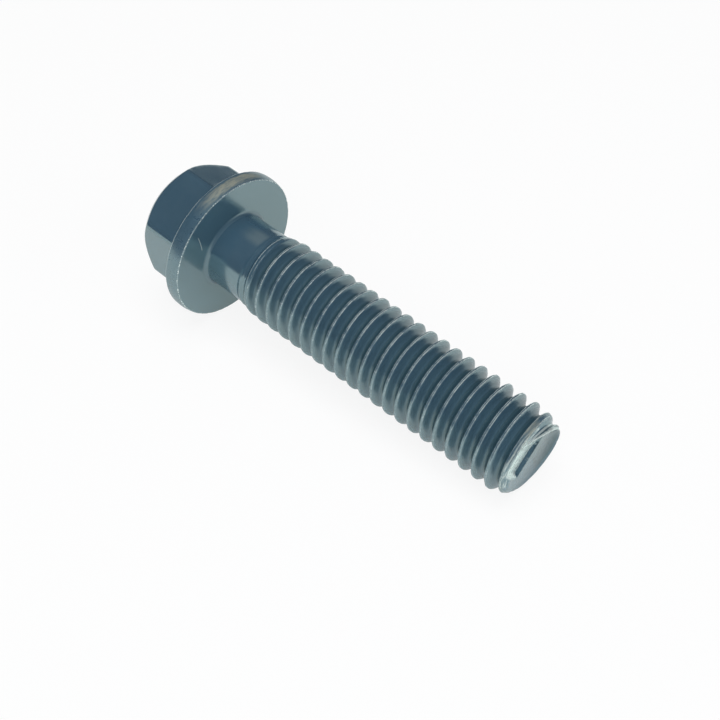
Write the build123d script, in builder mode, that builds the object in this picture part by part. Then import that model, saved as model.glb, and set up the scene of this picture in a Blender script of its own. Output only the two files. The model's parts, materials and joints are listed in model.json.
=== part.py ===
from build123d import *
from math import atan2, ceil, degrees, floor, radians, tan
import os

# Flange bolt M6 x 25 with a small hexagon head, cold headed and thread rolled in one piece.
# Millimetres and degrees. It is drawn upright first: the bearing face of the flange is at z = 0,
# the shank runs up +Z to its point and the head hangs below. At the end it is laid down.

# Thread, right hand
thread_d = 5.9  # over the rolled crests: nominal 6 less the allowance
thread_root_d = 4.77
pitch = 1.0
crest_flat = 0.18
flank_angle = 30.0  # of each flank, from square to the axis
thread_turn = 100.0  # how far into its turn the ridge is where the run-out starts

# Shank
length = 25.5  # from the bearing face to the end
neck_d = 5.3  # the blank that the thread is rolled on
neck_length = 2.9  # plain neck, up to the run-out
runout_length = 1.4  # here the crest rises above the neck while the root sinks below it
neck_fillet = 0.35

# Point: a taper, a bevelled edge and a dished end
taper_length = 1.35
taper_angle = 20.0
point_bevel = 0.3
dish_d = 3.9
dish_depth = 0.42

# Head
head_height = 5.1  # from the bearing face to the top of the head
across_flats = 7.8  # for an 8 mm wrench
corner_round = 0.55
top_land_d = 6.95  # flat on top of the head, inside the chamfer
chamfer_angle = 42.0
head_turn = 5.0  # a corner of the hexagon, round the axis from the side that lies downwards

# Flange
flange_d = 10.65  # at the middle of its barrelled rim
bearing_d = 10.44  # at the bearing face
rim_back_d = 10.59
rim_height = 1.06
cone_angle = 25.0  # slope of the flange from its rim up to the hexagon

# Sizes that follow
crest_r = thread_d / 2
root_r = thread_root_d / 2
neck_r = neck_d / 2
flange_r = flange_d / 2
flat_r = across_flats / 2
runout_end = neck_length + runout_length
runout_rise = (crest_r - neck_r) / runout_length
taper_start = length - taper_length
taper_slope = tan(radians(taper_angle))
taper_end_r = crest_r - taper_length * taper_slope
slope_end_r = 0.9 * flat_r  # the slope runs on to here, inside the hexagon
slope_rise = (rim_back_d / 2 - slope_end_r) * tan(radians(cone_angle))
chamfer_drop = (flange_r - top_land_d / 2) * tan(radians(chamfer_angle))
ball_r = (dish_d**2 / 4 + dish_depth**2) / (2 * dish_depth)
over = pitch  # how far a tool runs past what it cuts


def ridge_half_width(radius):
    """Half the axial width of the thread's ridge at this radius."""
    return crest_flat / 2 + (crest_r - radius) * tan(radians(flank_angle))


# The full thread: a ridge of trapezium section swept along a helix and rooted in a plain core,
# a turn or two longer at each end than the bolt needs.
ridge_foot_r = root_r - 0.05 * pitch
first_crest = neck_length + pitch * (thread_turn / 360 - 2)
ridge_length = pitch * ceil((length - first_crest) / pitch + 1.5)

with BuildPart() as full_thread:
    with BuildLine(Plane.XY.offset(first_crest)) as ridge_path:
        Helix(pitch=pitch, height=ridge_length, radius=root_r)
    with BuildSketch(Plane.XZ):
        with BuildLine():
            Polyline(
                (ridge_foot_r, first_crest - ridge_half_width(ridge_foot_r)),
                (crest_r, first_crest - crest_flat / 2),
                (crest_r, first_crest + crest_flat / 2),
                (ridge_foot_r, first_crest + ridge_half_width(ridge_foot_r)),
                close=True,
            )
        make_face()
    sweep(path=ridge_path.line, is_frenet=True)
    with BuildSketch(Plane.XY.offset(first_crest - over)):
        Circle(root_r)
    extrude(amount=ridge_length + 2 * over)


def stretch_of_thread(bottom, top):
    """The full thread between two heights, cut square."""
    with BuildPart() as stretch:
        add(full_thread.part)
        with BuildSketch(Plane.XY.offset(bottom)):
            Circle(crest_r + over)
        extrude(amount=top - bottom, mode=Mode.INTERSECT)
    return stretch.part


# The thread is finished in three stretches, which share their cuts: only the outer two are turned.
lower_cut = runout_end + 0.6 * pitch
upper_cut = taper_start - 0.6 * pitch

# Neck and run-out: the crest rises out of the neck along one cone, and the neck sinks to the root
# along another.
with BuildPart() as runout:
    add(stretch_of_thread(neck_length, lower_cut))
    with BuildSketch(Plane.XZ):
        with BuildLine():
            Polyline(
                (0, neck_length - over),
                (neck_r - runout_rise * over, neck_length - over),
                (crest_r + runout_rise * over, runout_end + over),
                (0, runout_end + over),
                close=True,
            )
        make_face()
    revolve(axis=Axis.Z, mode=Mode.INTERSECT)
    root_fall = (neck_r - root_r) / runout_length
    cone_end = runout_end + 0.2 * runout_length
    with BuildSketch(Plane.XZ):
        with BuildLine():
            foot = RadiusArc((neck_r + neck_fillet, 0), (neck_r, neck_fillet), neck_fillet)
            Polyline(
                foot @ 1,
                (neck_r, neck_length),
                (neck_r - root_fall * (cone_end - neck_length), cone_end),
                (0, cone_end),
                (0, 0),
                foot @ 0,
            )
        make_face()
    revolve(axis=Axis.Z)

# Point: the last crests are turned to the taper, whose end is bevelled and dished
with BuildPart() as point:
    add(stretch_of_thread(upper_cut, length))
    with BuildSketch(Plane.XZ) as point_outline:
        with BuildLine():
            Polyline(
                (0, upper_cut - over),
                (crest_r + (taper_start - upper_cut + over) * taper_slope, upper_cut - over),
                (taper_end_r, length),
                (0, length),
                close=True,
            )
        make_face()
        end_corner = point_outline.vertices().group_by(Axis.Y)[-1].sort_by(Axis.X)[-1]
        chamfer(end_corner, point_bevel)
    revolve(axis=Axis.Z, mode=Mode.INTERSECT)
    with Locations((0, 0, length - dish_depth + ball_r)):
        Sphere(ball_r, mode=Mode.SUBTRACT)

# Head: a hexagon with rounded corners, chamfered all round at its top, on the flange
with BuildPart() as head:
    with BuildSketch(Plane.XY.offset(-head_height)) as hexagon:
        RegularPolygon(flat_r, side_count=6, major_radius=False, rotation=head_turn)
        fillet(hexagon.vertices(), corner_round)
    extrude(amount=head_height - rim_height)
    with BuildSketch(Plane.XZ):
        with BuildLine():
            Polyline(
                (0, -head_height),
                (top_land_d / 2, -head_height),
                (flange_r, chamfer_drop - head_height),
                (flange_r, 0),
                (0, 0),
                close=True,
            )
        make_face()
    revolve(axis=Axis.Z, mode=Mode.INTERSECT)
    # the flange: flat bearing face, barrelled rim, and the slope up to inside the hexagon
    with BuildSketch(Plane.XZ):
        with BuildLine():
            rim = ThreePointArc(
                (bearing_d / 2, 0), (flange_r, -rim_height / 2), (rim_back_d / 2, -rim_height)
            )
            Polyline(
                rim @ 1,
                (slope_end_r, -rim_height - slope_rise),
                (0, -rim_height - slope_rise),
                (0, 0),
                rim @ 0,
            )
        make_face()
    revolve(axis=Axis.Z)

with BuildPart() as upright:
    add(head.part)
    add(runout.part)
    add(stretch_of_thread(lower_cut, upper_cut))
    add(point.part)

# Lying down: the bolt rests on the rim of its flange and on the last full crest before its point
resting_crest = first_crest + pitch * floor((taper_start + crest_flat / 2 - first_crest) / pitch)
resting_z = min(resting_crest + crest_flat / 2, taper_start)
tilt = degrees(atan2(flange_r - crest_r, resting_z + rim_height / 2))
lying = Rot(0, 90 + tilt, 0) * upright.part
reach = lying.bounding_box()

with BuildPart() as flange_bolt:
    with Locations((-reach.center().X, 0, -reach.min.Z)):
        add(lying)
os.makedirs("parts", exist_ok=True)
flange_bolt.part.label = "flange_bolt"
export_step(flange_bolt.part, "parts/flange_bolt.step")
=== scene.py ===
# %% [markdown]
# # A small flange bolt, modelled and finished in Blender
#
# The bolt is one piece of steel. A hexagon head and a round flange are forged on the end of a wire,
# the thread is rolled on the rest of it, and the whole bolt is blackened in a hot bath.
# The engineering model already has the right sizes, so it is loaded first as a fixed frame.
# This script builds a finer skin in the same place and gives it the blackened finish.

# %% Load the frame
import json
import math

import bmesh
import bpy
import numpy as np
from mathutils import Matrix, Vector, noise


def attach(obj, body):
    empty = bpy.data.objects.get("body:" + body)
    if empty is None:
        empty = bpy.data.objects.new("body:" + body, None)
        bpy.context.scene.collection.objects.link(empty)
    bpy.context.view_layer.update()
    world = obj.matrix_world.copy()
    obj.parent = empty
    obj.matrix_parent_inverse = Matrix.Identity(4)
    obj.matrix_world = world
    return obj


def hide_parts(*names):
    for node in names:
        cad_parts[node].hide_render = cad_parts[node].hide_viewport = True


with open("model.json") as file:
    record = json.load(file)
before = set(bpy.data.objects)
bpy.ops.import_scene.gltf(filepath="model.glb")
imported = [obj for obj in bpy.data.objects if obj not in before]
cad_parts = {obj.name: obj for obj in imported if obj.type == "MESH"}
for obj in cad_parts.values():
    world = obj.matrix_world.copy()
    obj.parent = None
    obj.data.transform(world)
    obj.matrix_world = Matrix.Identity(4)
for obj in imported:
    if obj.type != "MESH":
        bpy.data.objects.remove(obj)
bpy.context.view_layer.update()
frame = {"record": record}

# %% [markdown]
# ## Sizes
#
# The skin is drawn upright in millimetres, as a bolt is drawn on paper: the bearing face of the
# flange is at height 0, the shank rises to the point, and the head hangs below.
# Everything that is built later takes its sizes from here.

# %% The bolt's sizes, in millimetres
crest_radius = 2.95
root_radius = 2.385
pitch = 1.0
crest_flat = 0.12
flank_angle = math.radians(27.5)
neck_radius = 2.65
neck_length = 2.9
runout_length = 1.4
length = 25.5
taper_start = 24.15
taper_angle = math.radians(20)
edge_rounding = 0.16
first_crest = neck_length + pitch * (100 / 360 - 2)

head_height = 5.1
half_flats = 3.9
corner_rounding = 0.55
head_turn = math.radians(5)
land_radius = 3.475
chamfer_angle = math.radians(42)
flange_radius = 5.325
bearing_radius = 5.22
rim_back_radius = 5.295
rim_height = 1.06
slope_angle = math.radians(25)
foot_rounding = 0.35

end_drop = 0.14
end_lean = (-0.0441, 0.0445)
end_face_radius = 2.27
end_rim_radius = 2.36
dish_floor = 25.2
dish_radius = 1.7
ledge_height = 24.96
step_angle = math.radians(-130.3)
step_offset = 0.73
step_width = 0.1

neck_ring = neck_length  # the height where the head's shell meets the thread's
edge_centre_radius = 2.26
edge_centre = length - edge_rounding
point_ring = edge_centre + math.sqrt(edge_rounding**2 - (root_radius - edge_centre_radius) ** 2)
print("thread from", neck_ring, "to", round(point_ring, 3), "mm")

# %% [markdown]
# ## Where the bolt lies
#
# A bolt like this one rests on the rim of its flange and on a crest near its point, so it dips
# a few degrees. The record of the frame says where the bearing face is and which way the bolt
# points. Those two facts make the matrix that lays the upright drawing down.

# %% Lay-down matrix
bearing = next(m for m in frame["record"]["mounts"] if m["name"] == "bearing_face")
along = Vector(bearing["axis"]).normalized()
face_centre = Vector(bearing["pos_m"])
face_centre.y = 0
face_centre -= along * along.dot(face_centre - Vector(bearing["pos_m"]))
dip = math.asin(-along.z)
lay_turn = math.radians(90) + dip
lay_down = Matrix.Translation(face_centre) @ Matrix.Rotation(lay_turn, 4, "Y") @ Matrix.Scale(0.001, 4)
print("the bolt dips", round(math.degrees(dip), 2), "degrees; bearing face at", face_centre)

# %% [markdown]
# ## Arithmetic on node sockets
#
# Node trees are easier to read as formulas. This small class holds one output socket, and each
# operator adds the Math node that does the same sum. The reflected forms let a plain number
# stand on the left, as in `1 - mask`. Any other node comes from one method, which sets the node's
# own settings first, because some of them change its sockets.

# %% A socket that can be added and multiplied
class Wire:
    """One output socket in a node tree."""

    def __init__(self, tree, socket=None):
        self.tree = tree
        self.socket = socket

    def node(self, kind, settings=None, inputs=None, output=0):
        """Adds a node of this kind and returns one of its outputs."""
        made = self.tree.nodes.new(kind)
        for name, value in (settings or {}).items():
            setattr(made, name, value)
        for key, value in (inputs or {}).items():
            if isinstance(value, Wire):
                self.tree.links.new(value.socket, made.inputs[key])
            else:
                made.inputs[key].default_value = value
        return Wire(self.tree, made.outputs[output])

    def math(self, operation, *others):
        """A Math node with this socket first and the others after it."""
        return self.node("ShaderNodeMath", {"operation": operation}, dict(enumerate((self, *others))))

    def __add__(self, other):
        return self.math("ADD", other)

    def __sub__(self, other):
        return self.math("SUBTRACT", other)

    def __mul__(self, other):
        return self.math("MULTIPLY", other)

    def __truediv__(self, other):
        return self.math("DIVIDE", other)

    def __rsub__(self, other):
        return self.node("ShaderNodeMath", {"operation": "SUBTRACT"}, {0: other, 1: self})

    __radd__ = __add__
    __rmul__ = __mul__

    def least(self, *others):
        """The smallest of this and the others."""
        lowest = self
        for other in others:
            lowest = lowest.math("MINIMUM", other)
        return lowest

    def most(self, *others):
        """The largest of this and the others."""
        highest = self
        for other in others:
            highest = highest.math("MAXIMUM", other)
        return highest

    def step(self, start, end):
        """0 before start and 1 after end, with a smooth rise between them."""
        settings = {"interpolation_type": "SMOOTHSTEP"}
        places = {"Value": self, "From Min": start, "From Max": end}
        return self.node("ShaderNodeMapRange", settings, places)

    def mix(self, colour_at_0, colour_at_1):
        """Between two colours, with this socket as the factor."""
        colours = {0: self, 6: colour_at_0, 7: colour_at_1}
        return self.node("ShaderNodeMix", {"data_type": "RGBA"}, colours, output=2)


print("socket arithmetic is ready")

# %% [markdown]
# ## The rolled thread
#
# A thread is the clearest case of a shape that follows a rule, so it is made by Geometry Nodes.
# A screw modifier or a swept curve could make it too, but then the run-out at the neck and the
# tapered point would have to be cut with booleans. Here one flat grid is wrapped round the shank
# instead. Its columns wind along the helix, and its rows cross one pitch from root to root, so the
# last row of each turn meets the first row of the next turn, and merging them closes the skin.
#
# The radius of each point is the thread's profile held between two limits: a floor, which is the
# neck and then the root, and an outline, which is the run-out cone, the crest and the taper.
# At both ends the floor and the outline meet, so the grid shrinks to a plain ring there.

# %% A node tree with named inputs
def tree_with_inputs(name, values):
    """A Geometry Nodes tree, and a Wire for each of its named inputs."""
    tree = bpy.data.node_groups.new(name, "GeometryNodeTree")
    for label, value in values.items():
        kind = {int: "NodeSocketInt", float: "NodeSocketFloat"}.get(type(value), "NodeSocketMaterial")
        tree.interface.new_socket(label, in_out="INPUT", socket_type=kind)
    tree.interface.new_socket("Geometry", in_out="OUTPUT", socket_type="NodeSocketGeometry")
    entrance = tree.nodes.new("NodeGroupInput")
    return tree, {label: Wire(tree, entrance.outputs[label]) for label in values}


# %% The thread's inputs
black_oxide = bpy.data.materials.new("black_oxide_steel")
thread_sizes = {
    "Pitch": pitch,
    "Crest radius": crest_radius,
    "Root radius": root_radius,
    "Crest flat": crest_flat,
    "Flank slope": math.tan(flank_angle),
    "First crest": first_crest,
    "Neck radius": neck_radius,
    "Neck ring": neck_ring,
    "Run-out": runout_length,
    "Taper start": taper_start,
    "Taper slope": math.tan(taper_angle),
    "Point ring": point_ring,
    "Edge rounding": edge_rounding,
    "Edge centre": edge_centre,
    "Edge centre radius": edge_centre_radius,
    "Turns": 25,
    "Columns per turn": 120,
    "Rows": 24,
    "Seed": 7.0,
    "Finish": black_oxide,
}
tree, size = tree_with_inputs("Rolled thread", thread_sizes)
print("thread tree with", len(size), "inputs")

# %% Where each point of the grid goes round the bolt
start = Wire(tree)
index = start.node("GeometryNodeInputIndex")
row = index.math("MODULO", size["Rows"] + 1)
column = (index / (size["Rows"] + 1)).math("FLOOR")
turn = column / size["Columns per turn"]
angle = column.math("MODULO", size["Columns per turn"]) / size["Columns per turn"] * math.tau

# Rows crowd together at the crest and at the root, where the profile bends.
across = row / size["Rows"] * 2 - 1
crowding = 0.55
apart = across.math("ABSOLUTE")
spread = (apart - (apart * math.tau).math("SINE") * (crowding / math.tau)) * 0.5
free_height = size["First crest"] + (turn + across.math("SIGN") * spread) * size["Pitch"]
height = free_height.most(size["Neck ring"]).least(size["Point ring"])

# %% The floor and the outline
climb = (height - size["Neck ring"]) / size["Run-out"]
sinking_neck = size["Neck radius"] + climb * (size["Root radius"] - size["Neck radius"])
floor_radius = sinking_neck.most(size["Root radius"])
runout_cone = size["Neck radius"] + climb * (size["Crest radius"] - size["Neck radius"])
taper = size["Crest radius"] - (height - size["Taper start"]) * size["Taper slope"]
above = (height - size["Edge centre"]).most(0)
below = (size["Edge centre"] - height).most(0)
bow = (size["Edge rounding"] * size["Edge rounding"] - above * above).most(0).math("SQRT")
rounded_edge = size["Edge centre radius"] + bow + below * 1.5
outline = runout_cone.least(size["Crest radius"], taper, rounded_edge)

# %% The profile: root, flank and crest
root_half_flat = (
    size["Pitch"] / 2
    - size["Crest flat"] / 2
    - (size["Crest radius"] - size["Root radius"]) * size["Flank slope"]
)
from_crest = spread * size["Pitch"]
from_root = size["Pitch"] / 2 - from_crest
root_softness = 0.45
crest_softness = 0.03
crease_depth = 0.006
crease_half_width = 0.075
flank = floor_radius + (from_root - root_half_flat) / size["Flank slope"]
valley = floor_radius.math("SMOOTH_MAX", flank, root_softness)

# Rolling pushes metal up from both sides, and where the two flows meet the crest keeps a crease.
crease = (1 - from_crest.step(0.0, crease_half_width)) * crease_depth
ridge = (outline - crease).math("SMOOTH_MIN", valley, crest_softness)

# %% Small faults of a used thread
def at_radius(distance):
    """The place of each point of the grid at this distance from the bolt's axis."""
    sides = {0: angle.math("COSINE") * distance, 1: angle.math("SINE") * distance, 2: height}
    return start.node("ShaderNodeCombineXYZ", inputs=sides)


def crest_noise(scale, detail, seed, rough=0.5):
    """A noise pattern from 0 to 1 on the crests, with its scale in 1/mm."""
    values = {"W": seed, "Scale": scale, "Detail": detail, "Roughness": rough}
    values["Vector"] = at_radius(crest_radius)
    return start.node("ShaderNodeTexNoise", {"noise_dimensions": "4D"}, values)


fine = crest_noise(5.0, 3.0, size["Seed"])
coarse = crest_noise(1.7, 4.0, size["Seed"] + 11, 0.7)
near_top = (ridge - outline).step(-0.12, -0.01)
cut_crest = (size["Crest radius"] - outline).step(0.02, 0.1) * (height - 12).step(0, 1)
ragged = (fine - 0.5) * (0.010 + cut_crest * 0.07)
nick_depth = 0.035
nick = coarse.step(0.60, 0.74) * nick_depth
worn_ridge = ridge - near_top * (nick + ragged + cut_crest * 0.012)
radius = worn_ridge.most(floor_radius).least(outline)

# %% Wrap the grid, merge its turns and finish the tree
grid = start.node(
    "GeometryNodeMeshGrid",
    inputs={
        "Vertices X": size["Turns"] * size["Columns per turn"] + 1,
        "Vertices Y": size["Rows"] + 1,
    },
)
wrapped = start.node("GeometryNodeSetPosition", inputs={"Geometry": grid, "Position": at_radius(radius)})
merged = start.node("GeometryNodeMergeByDistance", inputs={"Geometry": wrapped, "Distance": 0.0005})
smooth = start.node("GeometryNodeSetShadeSmooth", inputs={"Geometry": merged})
real = start.node("GeometryNodeRealizeInstances", inputs={"Geometry": smooth})
finished = start.node("GeometryNodeSetMaterial", inputs={"Geometry": real, "Material": size["Finish"]})
way_out = tree.nodes.new("NodeGroupOutput")
tree.links.new(finished.socket, way_out.inputs["Geometry"])

# %% Evaluate the tree once, as a plain mesh
def mesh_from_tree(tree, values):
    """The mesh that a tree makes with these input values. Inputs are set by identifier."""
    carrier = bpy.data.objects.new(tree.name, bpy.data.meshes.new(tree.name))
    bpy.context.collection.objects.link(carrier)
    modifier = carrier.modifiers.new(tree.name, "NODES")
    modifier.node_group = tree
    for item in tree.interface.items_tree:
        if item.in_out == "INPUT":
            modifier[item.identifier] = values[item.name]
    depsgraph = bpy.context.evaluated_depsgraph_get()
    mesh = bpy.data.meshes.new_from_object(carrier.evaluated_get(depsgraph), depsgraph=depsgraph)
    carrier.modifiers.clear()
    bpy.data.objects.remove(carrier)
    return mesh


thread_mesh = mesh_from_tree(tree, thread_sizes)
print("thread:", len(thread_mesh.vertices), "points,", len(thread_mesh.polygons), "faces")

# %% [markdown]
# ## Head, flange and neck
#
# A forged head has no sharp edge anywhere, which is what makes it look like metal and not like
# cut card. Bevelling a boolean of a hexagon and a cone gives uneven faces, so the head is drawn
# as rings. For every angle round the bolt there is one outline from the middle of the head's top
# to the neck, and each of its corners is rounded off by its own amount.

# %% One outline with rounded corners
def rounded_outline(corners):
    """Points along a chain of corners, each given as radius, height, rounding, points on the
    rounding, and steps to the next corner."""
    places = [np.array(corner[:2], float) for corner in corners]
    bends = []
    for i, (_, _, rounding, count, _) in enumerate(corners):
        if rounding == 0:
            bends.append([places[i]])
            continue
        back, ahead = places[i - 1] - places[i], places[i + 1] - places[i]
        reach_back = min(rounding, 0.45 * np.linalg.norm(back))
        reach_ahead = min(rounding, 0.45 * np.linalg.norm(ahead))
        a = places[i] + back / np.linalg.norm(back) * reach_back
        b = places[i] + ahead / np.linalg.norm(ahead) * reach_ahead
        share = np.linspace(0, 1, count)[:, None]
        bends.append(list((1 - share) ** 2 * a + 2 * share * (1 - share) * places[i] + share**2 * b))
    line = []
    for i, bend in enumerate(bends):
        line += bend
        steps = corners[i][4]
        if i + 1 < len(bends):
            line += [bend[-1] + (bends[i + 1][0] - bend[-1]) * k / steps for k in range(1, steps)]
    return np.array(line)


def hexagon_radius(angle):
    """How far the wrench faces are from the axis, at this angle round it."""
    sixth = math.tau / 6
    off = abs((angle - head_turn) % sixth - sixth / 2)
    if off <= math.atan((half_flats - corner_rounding) * math.tan(sixth / 2) / half_flats):
        return half_flats / math.cos(off)
    to_corner = sixth / 2 - off
    middle = (half_flats - corner_rounding) / math.cos(sixth / 2)
    return middle * math.cos(to_corner) + math.sqrt(corner_rounding**2 - (middle * math.sin(to_corner)) ** 2)


# %% The head's outline at one angle
def head_outline(angle):
    """From near the middle of the head's top, over the hexagon and the flange, to the neck."""
    hexagon = hexagon_radius(angle)
    chamfer_foot = -head_height + (hexagon - land_radius) * math.tan(chamfer_angle)
    slope_top = -rim_height - (rim_back_radius - hexagon) * math.tan(slope_angle)
    return rounded_outline(
        [
            (0.5, -head_height, 0, 1, 5),
            (land_radius, -head_height, 0.12, 5, 4),
            (hexagon, chamfer_foot, 0.1, 5, 8),
            (hexagon, slope_top, 0.4, 6, 5),
            (rim_back_radius, -rim_height, 0.07, 5, 3),
            (flange_radius, -rim_height / 2, 0.3, 5, 3),
            (bearing_radius, 0, 0.06, 5, 12),
            (neck_radius, 0, foot_rounding, 7, 6),
            (neck_radius, neck_ring - 0.12, 0, 1, 1),
        ]
    )


head_columns = 2 * thread_sizes["Columns per turn"]
head_angles = np.arange(head_columns) * math.tau / head_columns
head_lines = np.array([head_outline(a) for a in head_angles])
print("head:", head_lines.shape[0], "outlines of", head_lines.shape[1], "points")

# %% The point's outline: the last of the rounded edge and a flat end, which is shaped later
point_outline = np.array(
    [(root_radius, point_ring), (2.34, length - 0.012), (2.28, length)]
    + [(r, length) for r in np.linspace(2.22, 0.06, 36)]
)
print("point:", len(point_outline), "rings")

# %% [markdown]
# ## One closed skin
#
# The rings of the head, the thread and the point are joined to one mesh. The head has twice as
# many columns as the thread, so one row of triangles halves them. Doubles are then merged, and the
# faces are turned outwards only after that, while the skin is still one closed shell.

# %% Join the three parts
skin = bmesh.new()
skin.from_mesh(thread_mesh)


def ring_of_points(radii, heights, angles):
    """One new point for each radius, height and angle."""
    return [skin.verts.new((r * math.cos(a), r * math.sin(a), z)) for r, z, a in zip(radii, heights, angles)]


def level_ring(radius, height):
    """A plain round ring with as many points as the thread has columns."""
    return ring_of_points([radius] * len(thread_angles), [height] * len(thread_angles), thread_angles)


def quads_between(lower, upper):
    """A band of faces between two rings with as many points."""
    for i in range(len(lower)):
        k = (i + 1) % len(lower)
        skin.faces.new((lower[i], lower[k], upper[k], upper[i]))


def close_with_fan(ring, height):
    """Triangles from a ring to one point on the axis."""
    middle = skin.verts.new((0, 0, height))
    for i in range(len(ring)):
        skin.faces.new((middle, ring[i], ring[(i + 1) % len(ring)]))


# %% The head's rings
thread_angles = np.arange(thread_sizes["Columns per turn"]) * math.tau / thread_sizes["Columns per turn"]
head_rings = [ring_of_points(ring[:, 0], ring[:, 1], head_angles) for ring in head_lines.transpose(1, 0, 2)]
for lower, upper in zip(head_rings, head_rings[1:]):
    quads_between(lower, upper)
close_with_fan(head_rings[0], -head_height)
print("head rings:", len(head_rings))

# %% From the head's columns to the thread's, and on to the point
fine_ring = head_rings[-1]
neck = level_ring(neck_radius, neck_ring)
for i in range(len(neck)):
    a, b, c = fine_ring[2 * i], fine_ring[2 * i + 1], fine_ring[(2 * i + 2) % len(fine_ring)]
    here, there = neck[i], neck[(i + 1) % len(neck)]
    skin.faces.new((a, b, here))
    skin.faces.new((b, there, here))
    skin.faces.new((b, c, there))

point_rings = [level_ring(r, z) for r, z in point_outline]
for lower, upper in zip(point_rings, point_rings[1:]):
    quads_between(lower, upper)
close_with_fan(point_rings[-1], length)
print("points before merging:", len(skin.verts))

# %% [markdown]
# ## The sheared end
#
# The wire was sheared off, not turned, and a blunt shear leaves its mark. The end leans, the edge
# of the wire stands up round a shallow dish, and on one side a ledge lies lower, past a straight
# step. Modelling the break by hand would take long. Here the flat end is squashed to a height that
# a formula gives for each place, and the points near the step are moved onto its edges first.

# %% How high the end is at each place
def rise(value, start, end):
    """0 before start and 1 after end, with a smooth rise between them."""
    part = min(max((value - start) / (end - start), 0), 1)
    return part * part * (3 - 2 * part)


def past_step(x, y):
    """How far a place is past the straight step, in numbers or in sockets."""
    return x * math.cos(step_angle) + y * math.sin(step_angle) - step_offset


def beside_step(x, y):
    """How far a place is from the middle of the step, along it."""
    return y * math.cos(step_angle) - x * math.sin(step_angle)


def end_height(x, y):
    """A leaning rim, a dish inside it, and a lower ledge that fades out at both ends of the step."""
    r = math.hypot(x, y)
    rim = length - end_drop + end_lean[0] * x + end_lean[1] * y
    outwards = min(max((r - dish_radius) / (end_face_radius - dish_radius), 0), 1)
    dish = dish_floor + (rim - dish_floor) * outwards**2.2
    beside = beside_step(x, y)
    fading = rise(beside, -2.3, -0.4) * (1 - rise(beside, 1.0, 1.35))
    fading *= 1 - rise(r, end_rim_radius, end_rim_radius + 0.26)
    return dish + (ledge_height - dish) * rise(past_step(x, y), 0.0, step_width) * fading


print("the end's middle is at", round(end_height(0, 0), 2), "and its ledge at", ledge_height, "mm")

# %% Shear the end
bmesh.ops.remove_doubles(skin, verts=skin.verts, dist=0.001)
squash_start = length - 0.65
for v in skin.verts:
    if v.co.z > length - 0.001 and -0.06 < past_step(v.co.x, v.co.y) < step_width + 0.06:
        past = past_step(v.co.x, v.co.y)
        slide = (step_width if past > step_width / 2 else 0) - past
        v.co.x += math.cos(step_angle) * slide
        v.co.y += math.sin(step_angle) * slide
    if v.co.z > squash_start:
        share = (end_height(v.co.x, v.co.y) - squash_start) / (length - squash_start)
        v.co.z = squash_start + (v.co.z - squash_start) * share
print("points on the end:", sum(v.co.z > squash_start for v in skin.verts))

# %% Turn the faces outwards and look for holes
bmesh.ops.recalc_face_normals(skin, faces=skin.faces)
sharp_angle = math.radians(32)
for edge in skin.edges:
    on_end = edge.verts[0].co.z > 24.9 and edge.verts[0].co.xy.length < end_face_radius - 0.02
    if on_end and edge.is_manifold:
        edge.smooth = edge.calc_face_angle() < sharp_angle
open_edges = sum(not edge.is_manifold for edge in skin.edges)
volume = skin.calc_volume(signed=True)
bolt_mesh = bpy.data.meshes.new("bolt")
skin.to_mesh(bolt_mesh)
skin.free()
bpy.data.meshes.remove(thread_mesh)
bolt_mesh.polygons.foreach_set("use_smooth", [True] * len(bolt_mesh.polygons))
print("skin:", len(bolt_mesh.polygons), "faces, open edges:", open_edges, "volume:", round(volume, 1))

# %% [markdown]
# ## Edges that handling has touched
#
# Oxide wears off first where the surface stands out: on the lips of the crests, on the rim of the
# flange, on the corners of the head. How far it stands out can be measured on the mesh. For every
# edge of the mesh the two normals at its ends are compared, and where they spread apart the
# surface is convex. The result is kept as an attribute that the material can read.

# %% Measure how convex the surface is
def convexity(mesh):
    """The strongest outward bend at each point, in 1/mm."""
    count = len(mesh.vertices)
    place = np.empty(count * 3)
    mesh.vertices.foreach_get("co", place)
    place = place.reshape(-1, 3)
    normal = np.empty(count * 3)
    mesh.vertices.foreach_get("normal", normal)
    normal = normal.reshape(-1, 3)
    ends = np.empty(len(mesh.edges) * 2, int)
    mesh.edges.foreach_get("vertices", ends)
    a, b = ends.reshape(-1, 2).T
    gap = place[b] - place[a]
    bend = ((normal[b] - normal[a]) * gap).sum(1) / np.maximum((gap**2).sum(1), 1e-6)
    strongest = np.zeros(count)
    np.maximum.at(strongest, a, bend)
    np.maximum.at(strongest, b, bend)
    return place, normal, strongest


place, normal, bend = convexity(bolt_mesh)
standing_out = np.clip((bend - 2.0) / 9.0, 0, 1)
print("points on a convex edge:", int((standing_out > 0.5).sum()))

# %% Dents along those edges
dent = np.array([noise.noise(Vector(p) * 2.3 + Vector((3, 1, 4))) for p in place])
dent = np.clip(dent - 0.12, 0, 1) * 0.09 * standing_out
wave = np.array([noise.noise(Vector(p) * 0.7 + Vector((2, 7, 1))) for p in place]) * 0.006
on_head = np.clip(-place[:, 2] * 4, 0, 1)
moved = place - normal * (dent * 0.5 + wave * on_head)[:, None]
bolt_mesh.vertices.foreach_set("co", moved.ravel())

edge_wear = bolt_mesh.attributes.new("edge_wear", "FLOAT", "POINT")
edge_wear.data.foreach_set("value", standing_out)
bolt_mesh.transform(lay_down)
bolt_mesh.update()
print("deepest dent, in mm:", round(float(dent.max() * 0.5), 3))
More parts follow.
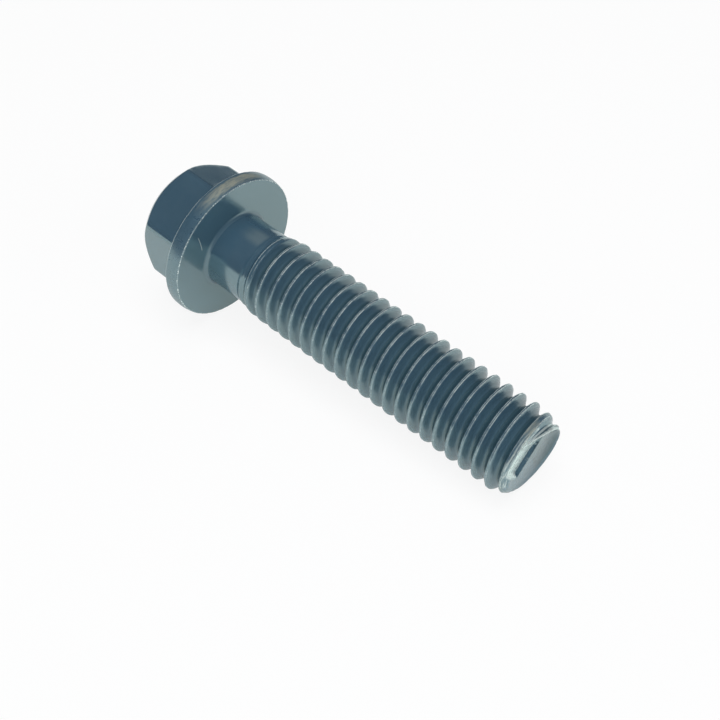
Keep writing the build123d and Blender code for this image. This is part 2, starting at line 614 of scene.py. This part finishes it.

# %% [markdown]
# ## The blackened finish
#
# Black oxide is a skin of magnetite a thousandth of a millimetre thick. Its body colour is a very
# dark blue-grey, and light is mirrored on its surface as on dark glass, only more strongly, which a
# high index of refraction gives. Where it has worn off, bare steel shows, so those places get a
# metallic value instead. Light and shade are also painted into the colour: painted highlights on one
# side of the bolt and at the end, lighter oxide where shade falls in the grooves and on the bearing
# face, and painted shade in the roots. The patterns are laid out in the bolt's own upright
# coordinates, so that a formula can say "on the rim" or "on the bearing face".

# %% The bolt's own coordinates inside the material
black_oxide.use_nodes = True
shader_tree = black_oxide.node_tree
shader_tree.nodes.clear()
paint = Wire(shader_tree)
object_place = paint.node("ShaderNodeTexCoord", output="Object")
upright = paint.node(
    "ShaderNodeMapping",
    {"vector_type": "TEXTURE"},
    {
        "Vector": object_place,
        "Location": tuple(face_centre),
        "Rotation": (0, lay_turn, 0),
        "Scale": (0.001, 0.001, 0.001),
    },
)
split = paint.node("ShaderNodeSeparateXYZ", inputs={0: upright})
x, y, z = [Wire(shader_tree, split.socket.node.outputs[i]) for i in range(3)]
off_axis = (x * x + y * y).math("SQRT")
worn = paint.node("ShaderNodeAttribute", {"attribute_name": "edge_wear"}, output="Fac")


def speckle(scale, detail=4.0, rough=0.6, vector=upright):
    """A noise pattern from 0 to 1, with its scale in 1/mm."""
    values = {"Vector": vector, "Scale": scale, "Detail": detail, "Roughness": rough}
    return paint.node("ShaderNodeTexNoise", inputs=values)


# %% Ways to say where something is
turn_at = y.math("ARCTAN2", x) / math.tau
to_end = length - z


def between(value, first, full, still, last):
    """0 up to first, 1 from full to still, and 0 again from last."""
    return value.step(first, full) * (1 - value.step(still, last))


def near_turn(middle, full, gone):
    """1 at this turn round the bolt and 0 away from it, where a whole turn is 1."""
    return 1 - (turn_at - middle).math("WRAP", 0.5, -0.5).math("ABSOLUTE").step(full, gone)


def line_at(distance, half_width):
    """A thin line where the distance is zero."""
    return 1 - distance.math("ABSOLUTE").step(half_width * 0.5, half_width * 1.3)


print("three kinds of mask are ready")

# %% Places on the head and the neck
on_rim = off_axis.step(5.15, 5.25) * between(z, -rim_height - 0.1, -rim_height, -0.05, 0.05)
rim_back_line = line_at(z + rim_height - 0.015, 0.03) * off_axis.step(5.2, 5.25)
rim_front_line = line_at(z + 0.03, 0.035) * off_axis.step(5.15, 5.2)
on_bearing = (1 - z.math("ABSOLUTE").step(0.02, 0.08)) * off_axis.step(neck_radius + 0.1, neck_radius + 0.4)
foot_edge = neck_radius + foot_rounding
foot = between(off_axis, neck_radius + 0.01, neck_radius + 0.04, foot_edge - 0.2, foot_edge)
foot = foot * between(z, -0.02, 0.0, 0.3, 0.4)
neck_place = between(z, 0.8, 2.4, 2.7, 3.0) * (1 - off_axis.step(neck_radius + 0.05, neck_radius + 0.1))
print("rim, bearing face, foot and neck are marked")

# %% Places on the thread
# The lips of the crest: how far a point is from the middle of the nearest crest, along the bolt.
phase = (z - first_crest) / pitch - turn_at
towards_point = (phase - phase.math("ROUND")) * pitch
from_middle = towards_point.math("ABSOLUTE")
past_neck = z - neck_length
climbing = neck_radius + past_neck * ((crest_radius - neck_radius) / runout_length)
cut_radius = (crest_radius - (z - taper_start) * math.tan(taper_angle)).least(crest_radius, climbing)
proud = off_axis - cut_radius
lip_place = crest_flat / 2 - 0.01 + (crest_radius - cut_radius) * math.tan(flank_angle)
on_crest = proud.step(-0.12, -0.07) * past_neck.step(0.1, 0.3)
unrolled_lip = towards_point.step(0.0, 0.03) * (1 - past_neck.step(1.15, 1.35))
lips = line_at(from_middle - lip_place, 0.022) * on_crest * (1 - unrolled_lip)
off_root = off_axis - root_radius
in_groove = (1 - off_root.step(0.1, 0.45)) * past_neck.step(0.3, 1.2)
deep = (1 - off_root.step(0.12, 0.46)) * past_neck.step(0.5, 1.3) * to_end.step(0.6, 0.8)
on_thread = past_neck.step(0.5, 1.0) * to_end.step(0.6, 0.8)
print("crests and grooves are marked")

# %% Places on the sheared end
beyond = past_step(x, y)
beside = beside_step(x, y)
off_rim = off_axis - end_rim_radius
cut_flat = between(to_end, 0.35, 0.45, 1.0, 1.5) * proud.step(-0.09, -0.04)
last_lip = line_at(from_middle - lip_place - 0.03, 0.07) * on_crest * (1 - to_end.step(0.7, 0.8))
ledge = beyond.step(step_width, step_width + 0.03) * between(beside, -1.7, -1.0, 1.15, 1.45)
ledge = ledge * (1 - to_end.step(0.59, 0.62)) * (1 - off_rim.step(0.16, 0.26))
torn = between(off_rim, 0.06, 0.12, 0.34, 0.44) * (1 - to_end.step(0.68, 0.78)) * beyond.step(0.6, 0.8)
end_face = (1 - to_end.step(0.55, 0.6)) * (1 - off_rim.step(-0.04, 0.0))
# A painted highlight along part of the end's rim.
point_rim_highlight = line_at(off_rim, 0.05) * (1 - to_end.step(0.4, 0.5)) * near_turn(0.43, 0.1, 0.16)
print("step, ledge and rim of the end are marked")

# %% A hair scratch on the bearing face
# It is part of a circle through three points, each given as radius and angle.
radii, degrees = np.array([(4.44, -132.9), (3.88, -127.7), (3.45, -120.9)]).T
scratch = np.stack([radii * np.cos(np.radians(degrees)), radii * np.sin(np.radians(degrees))], axis=1)
chords = scratch[1:] - scratch[0]
bow_centre = np.linalg.solve(2 * chords, (scratch[1:] ** 2).sum(1) - (scratch[0] ** 2).sum())
bow_radius = float(np.linalg.norm(scratch[0] - bow_centre))


def distance_to(point):
    """How far each place is from a point of the plane across the bolt."""
    across_x, across_y = x - float(point[0]), y - float(point[1])
    return (across_x * across_x + across_y * across_y).math("SQRT")


scratch_line = line_at(distance_to(bow_centre) - bow_radius, 0.03) * on_bearing
scratch_line = scratch_line * (1 - distance_to(scratch[1]).step(0.5, 0.75))
print("scratch radius, in mm:", round(bow_radius, 2))

# %% Patterns
def stretched(around, along, outwards):
    """A place whose three numbers count turns round the bolt, height and distance from its axis,
    each at its own rate."""
    rates = {0: turn_at * around, 1: z * along, 2: off_axis * outwards}
    return paint.node("ShaderNodeCombineXYZ", inputs=rates)


cloud = speckle(0.45, 3.0)
patch = speckle(2.2, 6.0, 0.7)
grain = speckle(16.0, 3.0)
glitter = speckle(9.0, 2.0).step(0.54, 0.62)
streak = speckle(1.0, 5.0, 0.7, stretched(60.0, 9.0, 1.0))
dragged = speckle(1.0, 3.0, 0.6, stretched(20.0, 12.0, 8.0)).step(0.42, 0.68)
print("six patterns are ready")

# %% Where the oxide has worn, and where highlights are painted
# Highlights are painted on one side of the bolt, over its wear: on the lips of its crests, in a lighter
# patch on its neck and in a warm patch on its rim.
highlight_side = near_turn(0.48, 0.02, 0.2)
worn_edge = (worn * (0.4 + patch)).step(0.75, 1.25) * 0.5
# Worn lips of the crests, with a painted highlight that is strongest on one side of the bolt.
lip_wear_and_highlight = lips * (patch.step(0.35, 0.65) * 0.7 + glitter * 0.5 + 0.15) * (highlight_side * 1.05 + 0.22)
lip_wear_and_highlight = lip_wear_and_highlight * (1 + (5.4 - z).step(0.0, 0.8) * 0.6)
rim_wear = (rim_back_line * (0.35 + patch * 0.5)).most(rim_front_line * (0.15 + glitter * 0.85))
# At the end: a painted highlight along part of the rim, the ledge painted bare-steel bright as a painted
# reflection, and worn metal on the last lip and the torn edge.
end_wear_and_highlight = (point_rim_highlight * 0.8).most(ledge * 0.95, last_lip * dragged * 0.75, torn * dragged * 0.8)
# Bare steel where worn, together with the painted highlights on the lips and the end.
bare_and_highlight = worn_edge.most(lip_wear_and_highlight, rim_wear, end_wear_and_highlight, scratch_line * 0.5).least(1.0)
# A painted reflection: a lighter patch on one side of the neck.
painted_neck_highlight = near_turn(0.507, 0.015, 0.05) * neck_place
# Worn metal on the rim, with a painted warm highlight on one side.
rim_highlight = on_rim * near_turn(0.489, 0.03, 0.11) * between(z, -0.95, -0.7, -0.35, -0.05)
# A painted warm highlight on the cut flat near the point, on the same side as the others.
cut_flat_highlight = cut_flat * near_turn(-0.484, 0.01, 0.06) * (0.3 + dragged * 0.7)
# The warm colour holds worn metal and the painted warm highlights.
warm_wear_and_highlight = (rim_highlight * streak.step(0.3, 0.62)).most(cut_flat_highlight, cut_flat * dragged * 0.3)
print("wear is marked")

# %% Colour, roughness and metal
oxide_dark = (0.045, 0.092, 0.138, 1)
oxide_light = (0.052, 0.101, 0.147, 1)
# Painted fill light: a lighter oxide for the grooves and the bearing face, where shade falls.
oxide_painted_fill = (0.056, 0.110, 0.154, 1)
# Painted shade: a darker oxide for the roots and the flanks that face the head.
groove_shade_colour = (0.032, 0.068, 0.092, 1)
# Painted reflection: a lighter colour for a patch on the neck.
neck_highlight_colour = (0.105, 0.155, 0.185, 1)
# Bare steel where the oxide has worn, also used for painted highlights.
bare_steel_and_highlight = (0.80, 0.88, 0.85, 1)
# Warm worn steel, also used for painted warm highlights on the rim and the cut flat.
warm_steel_and_highlight = (0.40, 0.41, 0.34, 1)

# Painted shade in the roots and on the flanks that face the head.
painted_groove_shade = (1 - towards_point.step(-0.07, -0.02)).most(from_middle.step(0.38, 0.46)) * in_groove
body = cloud.step(0.35, 0.7).mix(oxide_dark, oxide_light)
# Painted fill light: the oxide is lighter in the grooves and on the bearing face, where shade falls.
body = in_groove.most(on_bearing * 0.7).mix(body, oxide_painted_fill)
# Painted shade darkens the roots and the head-facing flanks.
body = painted_groove_shade.mix(body, groove_shade_colour)
# Painted reflection: a lighter patch on one side of the neck.
body = (painted_neck_highlight * (0.5 + patch)).least(1.0).mix(body, neck_highlight_colour)
colour = bare_and_highlight.mix(body, bare_steel_and_highlight)
colour = warm_wear_and_highlight.mix(colour, warm_steel_and_highlight)
metal = (bare_and_highlight * 0.5).most(warm_wear_and_highlight * 0.35)
roughness = 0.10 + patch * 0.08 + grain * 0.04 + on_thread * 0.07 + on_rim * 0.12
roughness = (roughness + bare_and_highlight * 0.12 + warm_wear_and_highlight * 0.25).least(0.75)
print("colour nodes so far:", len(shader_tree.nodes))

# %% Relief too fine for the mesh
relief = grain * 0.25 + patch * 0.35 + on_rim * streak * 1.4 + cut_flat * grain * 2.0 - scratch_line * 1.5
bumped = paint.node("ShaderNodeBump", inputs={"Strength": 0.35, "Distance": 0.000012, "Height": relief})
skin_shader = paint.node(
    "ShaderNodeBsdfPrincipled",
    inputs={
        "Base Color": colour,
        "Metallic": metal,
        "Roughness": roughness,
        "Normal": bumped,
        "IOR": 2.75,
        "Specular Tint": (0.74, 0.97, 0.92, 1),
    },
)

# A dull film stays where nothing rubs: in the grooves, at the neck's foot and on most of the end.
dull_shader = paint.node(
    "ShaderNodeBsdfPrincipled",
    inputs={
        "Base Color": body,
        "Roughness": 0.34,
        "Normal": bumped,
        "IOR": 1.9,
        "Specular Tint": (0.78, 1.0, 0.92, 1),
    },
)
dull = (deep * 0.8).most(end_face * (1 - beyond.step(-2.2, -0.2)) * 0.85, foot * 0.55)
both_shaders = paint.node("ShaderNodeMixShader", inputs={0: dull, 1: skin_shader, 2: dull_shader})
surface = shader_tree.nodes.new("ShaderNodeOutputMaterial")
shader_tree.links.new(both_shaders.socket, surface.inputs["Surface"])
print("material nodes:", len(shader_tree.nodes))

# %% Put the bolt in the scene
bolt = bpy.data.objects.new("bolt", bolt_mesh)
bpy.context.collection.objects.link(bolt)
bolt_mesh.materials.clear()
bolt_mesh.materials.append(black_oxide)
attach(bolt, "root")
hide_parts("flange_bolt")
print("bolt triangles:", sum(len(p.vertices) - 2 for p in bolt_mesh.polygons))

# %% [markdown]
# ## Studio
#
# Glossy metal is mostly a picture of what is round it. A white sheet lies under the bolt, the room
# above is dim, and four soft lamps light the bolt without showing in it. The sheet has to look
# white and still keep a soft shadow, so most of its brightness is its own colour for camera,
# glossy and transmission rays, and the rest is lit by the lamps.

# %% The white sheet
bpy.ops.mesh.primitive_plane_add(size=4)
sheet = bpy.context.object
sheet.name = "white_sheet"
paper = bpy.data.materials.new("white_paper")
paper.use_nodes = True
paper.node_tree.nodes.clear()
paper_wire = Wire(paper.node_tree)
path = paper_wire.node("ShaderNodeLightPath")
rays = {out.name: Wire(paper.node_tree, out) for out in path.socket.node.outputs}
mirrored = rays["Is Glossy Ray"].most(rays["Is Transmission Ray"]) * 0.6
sheet_place = paper_wire.node("ShaderNodeTexCoord", output="Object")
from_bolt = paper_wire.node("ShaderNodeVectorMath", {"operation": "LENGTH"}, {0: sheet_place}, "Value")
far_off = from_bolt.step(0.06, 0.25)
seen = (rays["Is Camera Ray"] * (0.88 + far_off * 0.12)).most(mirrored)
lit = paper_wire.node("ShaderNodeBsdfDiffuse", inputs={"Color": (0.94, 0.94, 0.94, 1)})
own = paper_wire.node("ShaderNodeEmission", inputs={"Color": (1, 1, 1, 1), "Strength": 1.0})
both = paper_wire.node("ShaderNodeMixShader", inputs={0: seen, 1: lit, 2: own})
paper_out = paper.node_tree.nodes.new("ShaderNodeOutputMaterial")
paper.node_tree.links.new(both.socket, paper_out.inputs["Surface"])
sheet.data.materials.append(paper)
print("white sheet laid")

# %% The dim room
room = bpy.data.worlds.new("room")
bpy.context.scene.world = room
room.use_nodes = True
room.node_tree.nodes.clear()
air = Wire(room.node_tree)
path = air.node("ShaderNodeLightPath")
rays = {out.name: Wire(room.node_tree, out) for out in path.socket.node.outputs}
direction = air.node("ShaderNodeTexCoord", output="Generated")
up = Wire(room.node_tree, air.node("ShaderNodeSeparateXYZ", inputs={0: direction}).socket.node.outputs[2])
low_band = 1 - up.step(0.0, 0.02)
backdrop = rays["Is Camera Ray"].most(rays["Is Glossy Ray"].most(rays["Is Transmission Ray"]) * low_band)
dim = up.step(0.0, 0.9).mix((0.06, 0.07, 0.08, 1), (0.07, 0.085, 0.10, 1))
ceiling = air.node("ShaderNodeBackground", inputs={"Color": dim, "Strength": 1.0})
white = air.node("ShaderNodeBackground", inputs={"Color": (1, 1, 1, 1), "Strength": 1.0})
around = air.node("ShaderNodeMixShader", inputs={0: backdrop, 1: ceiling, 2: white})
room_out = room.node_tree.nodes.new("ShaderNodeOutputWorld")
room.node_tree.links.new(around.socket, room_out.inputs["Surface"])
print("room ready")

# %% Soft lamps
def softbox(name, direction, distance, size, share, colour=(1, 1, 1)):
    """A disk lamp that looks at the bolt and isn't mirrored in it. Its share is the part of the
    plain light level that it gives, from which its power follows."""
    lamp = bpy.data.lights.new(name, "AREA")
    lamp.shape = "DISK"
    lamp.size = size
    lamp.energy = share * math.pi**2 * distance**2
    lamp.color = colour
    holder = bpy.data.objects.new(name, lamp)
    bpy.context.collection.objects.link(holder)
    towards = Vector(direction).normalized()
    holder.location = towards * distance
    holder.rotation_mode = "QUATERNION"
    holder.rotation_quaternion = towards.to_track_quat("Z", "Y")
    holder.visible_glossy = False
    holder.visible_camera = False


softbox("overhead", (0.1, -0.1, 1), 0.35, 0.3, 0.72)
softbox("front", (0.35, -0.75, 0.55), 0.4, 0.3, 0.32)
softbox("point", (0.9, 0.1, 0.35), 0.4, 0.3, 0.22)
softbox("window", (-0.47, 0.585, 0.66), 0.3, 0.22, 0.04, (1.0, 0.97, 0.92))
print("four soft lamps")

# %% [markdown]
# ## Camera
#
# A short telephoto lens looks down at 45 degrees from a hand's breadth away, so the near end of
# the bolt is a little larger than the head.

# %% Camera
from_bearing_face = Vector((0.046486, -0.039388, 0.049340))
view_direction = Vector((-0.47118, 0.52920, -0.70564))
camera_data = bpy.data.cameras.new("camera")
camera_data.lens = 56.895
camera_data.sensor_width = 36
camera_data.clip_start = 0.002
camera = bpy.data.objects.new("camera", camera_data)
bpy.context.collection.objects.link(camera)
camera.location = face_centre + from_bearing_face
camera.rotation_mode = "QUATERNION"
camera.rotation_quaternion = view_direction.to_track_quat("-Z", "Y")
bpy.context.scene.camera = camera
bpy.context.scene.view_settings.view_transform = "Standard"
print("camera at", [round(c, 4) for c in camera.location])
